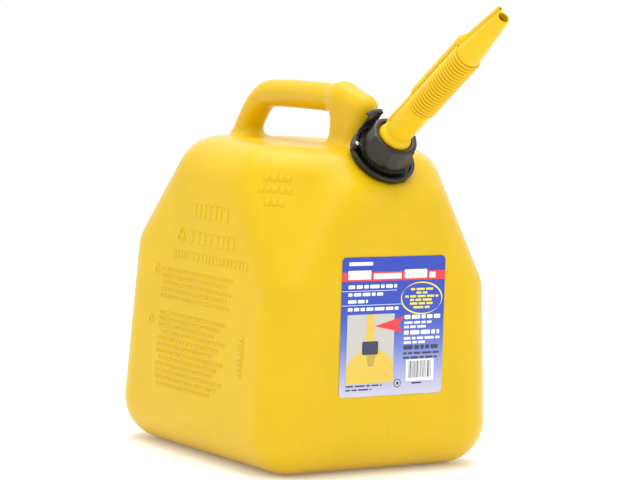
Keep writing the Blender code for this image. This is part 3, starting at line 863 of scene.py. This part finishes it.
def make_label():
    rng = random.Random(SEED + 2)
    place = label_frame()
    label = frame["nodes"]["front_label"]
    label.data.materials.clear()
    label.data.materials.append(label_blend())
    white = printed("print_white", (0.80, 0.80, 0.80))
    red = printed("print_red", (0.80, 0.030, 0.035))
    yellow = printed("print_yellow", (0.80, 0.70, 0.045))
    dark = printed("print_dark", (0.025, 0.028, 0.075))
    grey = printed("print_grey", (0.52, 0.51, 0.47))
    gold = printed("print_gold", (0.72, 0.50, 0.055))
    gold_shade = printed("print_gold_shade", (0.50, 0.33, 0.040))

    print_piece("label_band", [pill(0.0, 1.0, 0.828, 0.893, 0.01)], red, 1, place)
    title = [pill(left, right, 0.841, top, 0.08) for left, right, top in
             ((0.055, 0.275, 0.905), (0.300, 0.570, 0.882), (0.600, 0.820, 0.905), (0.845, 0.905, 0.882))]
    lines = [pill(0.060, 0.290, 0.940, 0.966, 0.5)]
    for left, right, low, high in ((0.060, 0.53, 0.776, 0.802), (0.060, 0.42, 0.722, 0.746),
                                   (0.060, 0.25, 0.672, 0.696), (0.060, 0.55, 0.616, 0.640)):
        lines += words(rng, left, right, low, high)
    lines += [pill(0.0, 0.53, 0.757, 0.7605, 0.1), pill(0.0, 0.59, 0.655, 0.6585, 0.1)]
    for top, right, height in ((0.575, 0.965, 0.030), (0.528, 0.88, 0.018), (0.497, 0.83, 0.018),
                               (0.462, 0.960, 0.030), (0.414, 0.965, 0.018), (0.384, 0.82, 0.018)):
        lines += words(rng, 0.610, right, top - height, top)
    print_piece("label_white", title + lines, white, 2, place)
    notes = []
    for top, right, height in ((0.355, 0.965, 0.031), (0.304, 0.965, 0.015), (0.272, 0.945, 0.015)):
        notes += words(rng, 0.610, right, top - height, top)
    for top, right in ((0.083, 0.41), (0.056, 0.31)):
        notes += words(rng, 0.060, right, top - 0.011, top)
    print_piece("label_notes", notes, dark, 2, place)
    oval = [crescent(-35, 150, 0.085), crescent(145, 325, 0.085)]
    for top, half in ((0.768, 0.110), (0.742, 0.055), (0.716, 0.165), (0.690, 0.115), (0.664, 0.115),
                      (0.636, 0.080)):
        oval += words(rng, 0.775 - half, 0.775 + half, top - 0.016, top)
    print_piece("label_oval", oval, yellow, 2, place)

    print_piece("picture_ground", [pill(0.060, 0.515, 0.095, 0.590, 0.01)], grey, 1, place)
    can = [(0.060, 0.095), (0.515, 0.095), (0.515, 0.235), (0.455, 0.300), (0.360, 0.335), (0.235, 0.335),
           (0.135, 0.295), (0.060, 0.225)]
    print_piece("picture_can", [shape_on_label(can)], gold, 2, place)
    fold = [(0.240, 0.335), (0.350, 0.335), (0.320, 0.215), (0.270, 0.215)]
    print_piece("picture_fold", [shape_on_label(fold)], gold_shade, 3, place)
    pipe = [(0.240, 0.395), (0.325, 0.395), (0.318, 0.590), (0.252, 0.590)]
    print_piece("picture_spout", [shape_on_label(pipe)], gold, 2, place)
    print_piece("picture_collar", [pill(0.208, 0.362, 0.300, 0.396, 0.12)], dark, 4, place)
    arrow = [(0.325, 0.503), (0.520, 0.548), (0.600, 0.567), (0.553, 0.505), (0.592, 0.452), (0.520, 0.466)]
    print_piece("label_arrow", [shape_on_label(arrow)], red, 4, place)
    print_piece("code_ground", [pill(0.640, 0.915, 0.095, 0.252, 0.03)], white, 2, place)
    bars = []
    place_u = 0.668
    while place_u < 0.885:
        width = rng.choice((0.0035, 0.006, 0.010))
        bars.append(pill(place_u, place_u + width, 0.118, 0.240, 0.01))
        place_u += width + rng.choice((0.004, 0.007, 0.012))
    bars += words(rng, 0.700, 0.820, 0.074, 0.085)
    print_piece("code_bars", bars, dark, 3, place)
    ring = [(0.560 + 0.035 * math.cos(math.tau * k / 40), 0.084 + 0.031 * math.sin(math.tau * k / 40))
            for k in range(40)]
    print_piece("round_mark", [shape_on_label(ring)], dark, 2, place)
    inner = [(0.560 + (u - 0.560) * 0.80, 0.084 + (v - 0.084) * 0.80) for u, v in ring]
    print_piece("round_mark_inside", [shape_on_label(inner)], grey, 3, place)
    core = [(0.560 + (u - 0.560) * 0.38, 0.084 + (v - 0.084) * 0.38) for u, v in ring]
    print_piece("round_mark_core", [shape_on_label(core)], dark, 4, place)


# ---------------------------------------------------------------- closure

def make_ring(material):
    waist = RING_RADIUS - 0.0006
    dish = [(RING_RADIUS, RING_HEIGHT), (RING_RADIUS, RING_HEIGHT * 0.62), (waist, RING_HEIGHT * 0.52),
            (waist, RING_FOOT), (RING_BORE, RING_FOOT), (RING_BORE, RING_FLOOR),
            (RING_WELL, RING_FLOOR), (RING_WELL, RING_HEIGHT)]
    ring = revolve("ring_dish", rounded_profile(dish, 0.0008), 144, material, NECK)
    hole = PIN_RADIUS + PIN_GAP
    seat = [(hole, RING_HEIGHT), (HUB_RADIUS, RING_HEIGHT), (HUB_RADIUS, RING_FLOOR), (hole, RING_FLOOR)]
    boss = revolve("ring_boss", rounded_profile(seat, 0.0003), 40, material, PIN_PLACE)
    lugs = []
    for degrees in (232, 262, 292):
        angle = math.radians(degrees)
        sections = []
        for radius, height in ((RING_RADIUS - 0.001, RING_FOOT), (RING_RADIUS - 0.001, RING_HEIGHT * 0.9)):
            sections.append([(radius + r, w, height) for r, w in
                             ((0, -0.0009), (0.0010, -0.0005), (0.0010, 0.0005), (0, 0.0009))])
        lugs.append(rings("lug", sections, material, NECK @ Matrix.Rotation(angle, 4, "Z")))
    foot = RING_FLOOR - RING_FOOT
    outer = RING_LIP + RING_LIP_WIDTH
    upright = [(RING_LIP, RING_LIP_TOP), (outer, RING_LIP_TOP), (outer, foot), (RING_LIP, foot)]
    lip = revolve("ring_lip", rounded_profile(upright, 0.0002), 144, material, NECK)
    item = merged("ratchet_ring", [ring, boss, lip] + lugs)
    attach(item, "can")
    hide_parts("lock_ring")


def band(name, start, end, corners, steps, rounding, material):
    """A curved bar round the neck's axis, from (radius, height) corners or a function that gives them."""
    sections = []
    for step in range(steps + 1):
        share = step / steps
        angle = start + (end - start) * share
        outline = rounded_profile(corners(share) if callable(corners) else corners, rounding, 3)
        sections.append([(r * math.cos(angle), r * math.sin(angle), h) for r, h in outline])
    return rings(name, sections, material, NECK, sharp=50)


def make_lever(material):
    inner, outer = LEVER_RADIUS - LEVER_WIDTH / 2, LEVER_RADIUS + LEVER_WIDTH / 2
    first, last = TAB_ANGLE - TAB_HALF_ANGLE, TAB_ANGLE + TAB_HALF_ANGLE

    inside = outer - TAB_THICKNESS
    root = LEVER_TOP - 0.001
    lip_low = TAB_TOP - 0.0020
    arm = [(inner, LEVER_BOTTOM), (outer, LEVER_BOTTOM), (outer, LEVER_TOP), (inner, LEVER_TOP)]
    tab = [(inside, root), (outer, root), (outer, TAB_TOP), (inside, TAB_TOP)]
    lip = [(inside, lip_low), (outer + TAB_LIP, lip_low), (outer + TAB_LIP, TAB_TOP), (inside, TAB_TOP)]
    pawl = [(PAWL_TIP, FLANGE_BOTTOM), (LEVER_RADIUS, FLANGE_BOTTOM), (LEVER_RADIUS, FLANGE_TOP),
            (PAWL_TIP, FLANGE_TOP)]

    def gusset(share):
        """A web that falls from the tab's top to the arm."""
        rise = LEVER_TOP + (TAB_TOP - LEVER_TOP) * (1 - share) ** 1.6
        near, far = outer - TAB_THICKNESS * 0.9, outer - 0.0003
        return [(near, root), (far, root), (far, rise), (near, rise)]

    hole = PIN_RADIUS + PIN_GAP
    hub = [(hole, LEVER_TOP), (HUB_RADIUS, LEVER_TOP), (HUB_RADIUS, LEVER_BOTTOM), (hole, LEVER_BOTTOM)]
    pawl_start, pawl_end = PAWL_ANGLE - PAWL_HALF_ANGLE, PAWL_ANGLE + PAWL_HALF_ANGLE
    parts = [band("arm", first, PIN_ANGLE, arm, 48, 0.0007, material),
             band("tab", first, last, tab, 20, 0.0005, material),
             band("lip", first - 0.026, last + 0.026, lip, 20, 0.0006, material),
             band("gusset", last - 0.02, last + 0.20, gusset, 16, 0.0003, material),
             band("pawl", pawl_start, pawl_end, pawl, 8, 0.0003, material),
             revolve("hub", rounded_profile(hub, 0.0005), 40, material, PIN_PLACE)]
    item = merged("thumb_lever", parts)
    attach(item, "lever")
    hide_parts("lock_lever")


def make_pin(material):
    head = LEVER_TOP + 0.0003
    profile = [(0.00005, head + 0.0012), (PIN_HEAD * 0.45, head + 0.00115), (PIN_HEAD * 0.80, head + 0.0009),
               (PIN_HEAD, head + 0.0005), (PIN_HEAD, head), (PIN_RADIUS, head), (PIN_RADIUS, PIN_FOOT),
               (0.00005, PIN_FOOT)]
    item = revolve("pivot_pin", profile, 32, material, PIN_PLACE, sharp=50)
    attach(item, "can")
    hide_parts("lever_pin")


def collar_wall(height):
    share = (height - FLANGE_BOTTOM) / (COLLAR_TOP - FLANGE_BOTTOM)
    return COLLAR_LOW + (COLLAR_HIGH - COLLAR_LOW) * share


def make_collar(material):
    outside = [(0, FLANGE_TOP), (0, FLANGE_TOP + 0.0006), (0, 0.0160), (0, 0.0210), (0, 0.0260), (0, 0.0290),
               (0, 0.0306), (0, 0.0312), (0, 0.0320)]
    wall = [(collar_wall(h), h) for _, h in outside]
    top = [(COLLAR_HIGH - 0.0006, COLLAR_TOP - 0.0007), (COLLAR_HIGH - 0.0014, COLLAR_TOP - 0.0002),
           (COLLAR_HIGH - 0.0024, COLLAR_TOP),
           (LIP_HOLE + 0.0014, COLLAR_TOP), (LIP_HOLE + 0.0003, COLLAR_TOP - 0.0004),
           (LIP_HOLE, COLLAR_TOP - 0.0012)]
    inside = [(LIP_HOLE, LIP_BOTTOM), (COLLAR_BORE, LIP_BOTTOM), (COLLAR_BORE, FLANGE_TOP)]
    profile = wall + top + inside
    lobed = len(wall) + 1

    def lobes(index, radius, height, angle):
        if index >= lobed:
            return radius
        crest = max(0.0, math.cos(LOBES * angle / 2) ** 2) ** LOBE_SHARPNESS
        hollow = 0.00035 * math.sin(LOBES * angle / 2) ** 2
        ease = min(1, (height - FLANGE_TOP) / 0.002)
        return radius + (LOBE_HEIGHT * crest - hollow) * ease

    shell = revolve("collar_shell", profile, 240, material, NECK, lobes, 50)

    def teeth(index, radius, height, angle):
        if radius < FLANGE_RADIUS - 0.0002:
            return radius
        share = (angle * TOOTH_COUNT / math.tau) % 1
        return radius + TOOTH_HEIGHT * (share / 0.8 if share < 0.8 else (1 - share) / 0.2)

    low, high = FLANGE_BOTTOM + 0.0002, FLANGE_TOP
    crown = revolve("collar_crown", [(COLLAR_BORE, low), (FLANGE_RADIUS, low), (FLANGE_RADIUS, high),
                                     (COLLAR_BORE, high)], TOOTH_COUNT * 10, material, NECK, teeth, 35)
    skirt = revolve("collar_skirt", rounded_profile([(COLLAR_BORE, high), (SKIRT_RADIUS, high),
                    (SKIRT_RADIUS, SKIRT_BOTTOM), (COLLAR_BORE, SKIRT_BOTTOM)], 0.0004), 144, material, NECK)
    ridge = helix("collar_ridge", COLLAR_BORE, COLLAR_CREST, THREAD_START + THREAD_PITCH / 2, material)
    item = merged("grip_collar", [shell, crown, skirt, ridge])
    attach(item, "collar")
    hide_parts("screw_collar")


def make_gasket(material):
    corners = [(NECK_BORE, GASKET_HIGH), (SEAT_RADIUS, GASKET_HIGH), (SEAT_RADIUS, GASKET_LOW),
               (NECK_BORE, GASKET_LOW)]
    item = revolve("seal_ring", rounded_profile(corners, 0.0004), 96, material, NECK)
    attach(item, "seal")
    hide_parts("neck_gasket")


# ---------------------------------------------------------------- spout

def make_base(material):
    stations = [(PLUG_LOW, PLUG_RADIUS, 0), (SEAT_LOW, PLUG_RADIUS, 0), (SEAT_LOW + 0.00005, SEAT_RADIUS, 0),
                (SEAT_HIGH, SEAT_RADIUS, 0)]
    for step in range(13):
        angle = math.radians(step * 7.4)
        stations.append((SEAT_HIGH + DOME_HEIGHT * math.sin(angle), DOME_RADIUS * math.cos(angle), 0))
    parts = [rod("dome", stations, 96, material, NECK),
             rod("pour", [(0, POUR_RADIUS, 0), (BELLOWS_START, POUR_RADIUS, 0)], 80, material, SPOUT),
             rod("vent", [(-0.0021, VENT_RADIUS, 0), (BELLOWS_START, VENT_RADIUS, 0)], 48, material, VENT)]
    item = remeshed("spout_foot", parts, SPOUT_VOXEL, material, FOOT_SMOOTHING)
    chamber = [(PLUG_LOW - 0.005, PLUG_BORE, 0), (SEAT_HIGH + DOME_HEIGHT / 3, PLUG_BORE, 0)]
    cut(item, rod("chamber", chamber, 64, material, NECK),
        rod("pour_bore", [(0, POUR_BORE, 0), (BELLOWS_START + WALL, POUR_BORE, 0)], 64, material, SPOUT),
        rod("vent_bore", [(WALL, VENT_BORE, 0), (BELLOWS_START + WALL, VENT_BORE, 0)], 32, material, VENT))
    item.data.shade_smooth()
    item.data.set_sharp_from_angle(angle=math.radians(55))
    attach(item, "spout")
    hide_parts("spout_base")


def ridged_tube(name, ridge, valley, bore, segments, material, painted_valley_shade, place):
    """A corrugated tube, with a darker colour painted as shade on the faces at the foot of its ridges."""
    start, end = BELLOWS_START + BELLOWS_GAP, BELLOWS_END - BELLOWS_GAP
    length = (end - start) / RIDGES
    outside = []
    for step in range(RIDGES * RIDGE_STEPS + 1):
        swell = 0.5 - 0.5 * math.cos(math.tau * step / RIDGE_STEPS)
        outside.append((valley + (ridge - valley) * swell ** 0.75, start + length * step / RIDGE_STEPS))
    inside = [(bore, end), (bore, (start + end) / 2), (bore, start)]
    profile = outside + inside
    item = revolve(name, profile, segments, material, place, sharp=75)
    # The second material is painted shade: a darker colour on the valley faces between the ridges.
    item.data.materials.append(painted_valley_shade)
    for face in item.data.polygons:
        station = face.index % len(profile)
        if station < RIDGES * RIDGE_STEPS and station % RIDGE_STEPS in (0, RIDGE_STEPS - 1):
            face.material_index = 1
    return item


def make_bellows(material, painted_valley_shade):
    # The bellows' valleys carry painted shade, a darker colour on the faces at the foot of each ridge.
    item = merged("spout_ridges", [
        ridged_tube("pour_ridges", POUR_RIDGE, POUR_VALLEY, POUR_BORE, 72, material, painted_valley_shade, SPOUT),
        ridged_tube("vent_ridges", VENT_RIDGE, VENT_VALLEY, VENT_BORE, 48, material, painted_valley_shade, VENT)])
    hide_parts("spout_bellows")
    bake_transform(item)


def make_nozzle(material):
    pour = rod("pour", [(BELLOWS_END, NOZZLE_RADIUS, 0), (NOZZLE_SHOULDER, NOZZLE_RADIUS, 0),
                        (NOZZLE_END, TIP_RADIUS, 0)], 80, material, SPOUT)
    vent = rod("vent", [(BELLOWS_END, VENT_RIDGE, VENT_OFFSET), (NOZZLE_SHOULDER, VENT_RIDGE, VENT_OFFSET),
                        (VENT_STEP_END, VENT_NECK, VENT_STEP_OFFSET),
                        (NOZZLE_END + 0.0005, VENT_TIP, VENT_TIP_OFFSET)], 48, material, SPOUT)
    item = remeshed("spout_tip", [pour, vent], 0.00045, material, 3)
    cut(item, rod("pour_bore", [(BELLOWS_END - WALL, POUR_BORE - 0.0006, 0), (NOZZLE_END, TIP_BORE, 0),
                                (NOZZLE_END + WALL, TIP_BORE, 0)], 64, material, SPOUT),
        rod("vent_bore", [(BELLOWS_END - WALL, VENT_BORE, VENT_OFFSET), (VENT_STEP_END, VENT_NECK - 0.0012,
                          VENT_STEP_OFFSET), (NOZZLE_END, VENT_TIP_BORE, VENT_TIP_OFFSET),
                          (NOZZLE_END + WALL, VENT_TIP_BORE, VENT_TIP_OFFSET)], 32, material, SPOUT))
    item.data.shade_smooth()
    item.data.set_sharp_from_angle(angle=math.radians(55))
    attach(item, "nozzle")
    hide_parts("spout_nozzle")


# ---------------------------------------------------------------- stage, lights, camera

def area_light(name, place, target, size, power, colour):
    data = bpy.data.lights.new(name, "AREA")
    data.shape = "RECTANGLE"
    data.size, data.size_y = size
    data.energy = power
    data.color = colour
    item = bpy.data.objects.new(name, data)
    item.location = place
    item.rotation_euler = (Vector(target) - Vector(place)).to_track_quat("-Z", "Y").to_euler()
    bpy.context.scene.collection.objects.link(item)


def make_stage():
    look = Shading("pale_floor", (0.90, 0.90, 0.90), 0.70)
    look.roughness(look.span(look.noise(3, 2), 0.3, 0.7, 0.66, 0.76))
    look.shader.inputs["Emission Color"].default_value = (1, 1, 1, 1)
    look.shader.inputs["Emission Strength"].default_value = 0.12
    half = 20.0
    corners = [(-half, -half, 0), (half, -half, 0), (half, half, 0), (-half, half, 0)]
    mesh = bpy.data.meshes.new("studio_floor")
    mesh.from_pydata(corners, [], [(0, 1, 2, 3)])
    mesh.materials.append(look.material)
    floor = bpy.data.objects.new("studio_floor", mesh)
    floor.location = (0, 0, -0.0003)
    bpy.context.scene.collection.objects.link(floor)
    world = bpy.data.worlds.new("studio")
    world.use_nodes = True
    world.node_tree.nodes["Background"].inputs["Color"].default_value = (1, 1, 1, 1)
    world.node_tree.nodes["Background"].inputs["Strength"].default_value = 1.0
    bpy.context.scene.world = world
    bpy.context.scene.view_settings.view_transform = "Standard"
    centre = (0, 0, 0.2)
    area_light("key", (-1.3, -1.5, 2.1), centre, (1.6, 1.2), 10, (1, 0.99, 0.97))
    area_light("top", (0.1, 0.1, 2.2), centre, (1.8, 1.8), 32, (1, 1, 1))
    area_light("fill", (1.9, -1.7, 0.9), centre, (1.4, 1.4), 3, (1, 1, 1))


CAMERA_TURN = math.radians(-34.447)
CAMERA_RISE = math.radians(5.22)
CAMERA_ROLL = math.radians(2.342)
CAMERA_DISTANCE = 2.665
CAMERA_TARGET = Vector((0, 0, 0.2115))
CAMERA_SHIFT = (0.0118, 0.00145)
CAMERA_LENS = 149.1


def make_camera():
    a, e, roll = CAMERA_TURN, CAMERA_RISE, CAMERA_ROLL
    back = Vector((math.sin(a) * math.cos(e), -math.cos(a) * math.cos(e), math.sin(e)))
    right = Vector((math.cos(a), math.sin(a), 0))
    up = back.cross(right)
    turned_right = right * math.cos(roll) + up * math.sin(roll)
    turned_up = up * math.cos(roll) - right * math.sin(roll)
    data = bpy.data.cameras.new("camera")
    data.lens = CAMERA_LENS
    data.sensor_width = 36
    item = bpy.data.objects.new("camera", data)
    turn = Matrix((turned_right, turned_up, back)).transposed().to_4x4()
    place = (CAMERA_TARGET + back * CAMERA_DISTANCE + turned_right * CAMERA_SHIFT[0]
             + turned_up * CAMERA_SHIFT[1])
    item.matrix_world = Matrix.Translation(place) @ turn
    bpy.context.scene.collection.objects.link(item)
    bpy.context.scene.camera = item


def main():
    body_plastic = polyethylene("can_plastic", (0.68, 0.438, 0.001), 0.34, 0.08, seam=True)
    spout_plastic = polyethylene("spout_plastic", (0.77, 0.485, 0.002), 0.36, 0.02)
    make_camera()
    make_stage()
    make_body(body_plastic)
    make_neck(body_plastic)
    make_marks(body_plastic)
    facet_marks(body_plastic)
    make_label()
    make_ring(black_plastic("ring_plastic", (0.010, 0.008, 0.005), 0.38))
    make_lever(black_plastic("lever_plastic", (0.012, 0.010, 0.007), 0.30))
    make_pin(steel())
    make_collar(black_plastic("collar_plastic", (0.014, 0.011, 0.006), 0.29))
    make_gasket(rubber())
    make_base(spout_plastic)
    # The valley material is a darker colour painted as shade in the bellows' valleys.
    make_bellows(spout_plastic, polyethylene("valley_painted_shade", (0.46, 0.22, 0.002), 0.48, 0.0))
    make_nozzle(spout_plastic)


main()
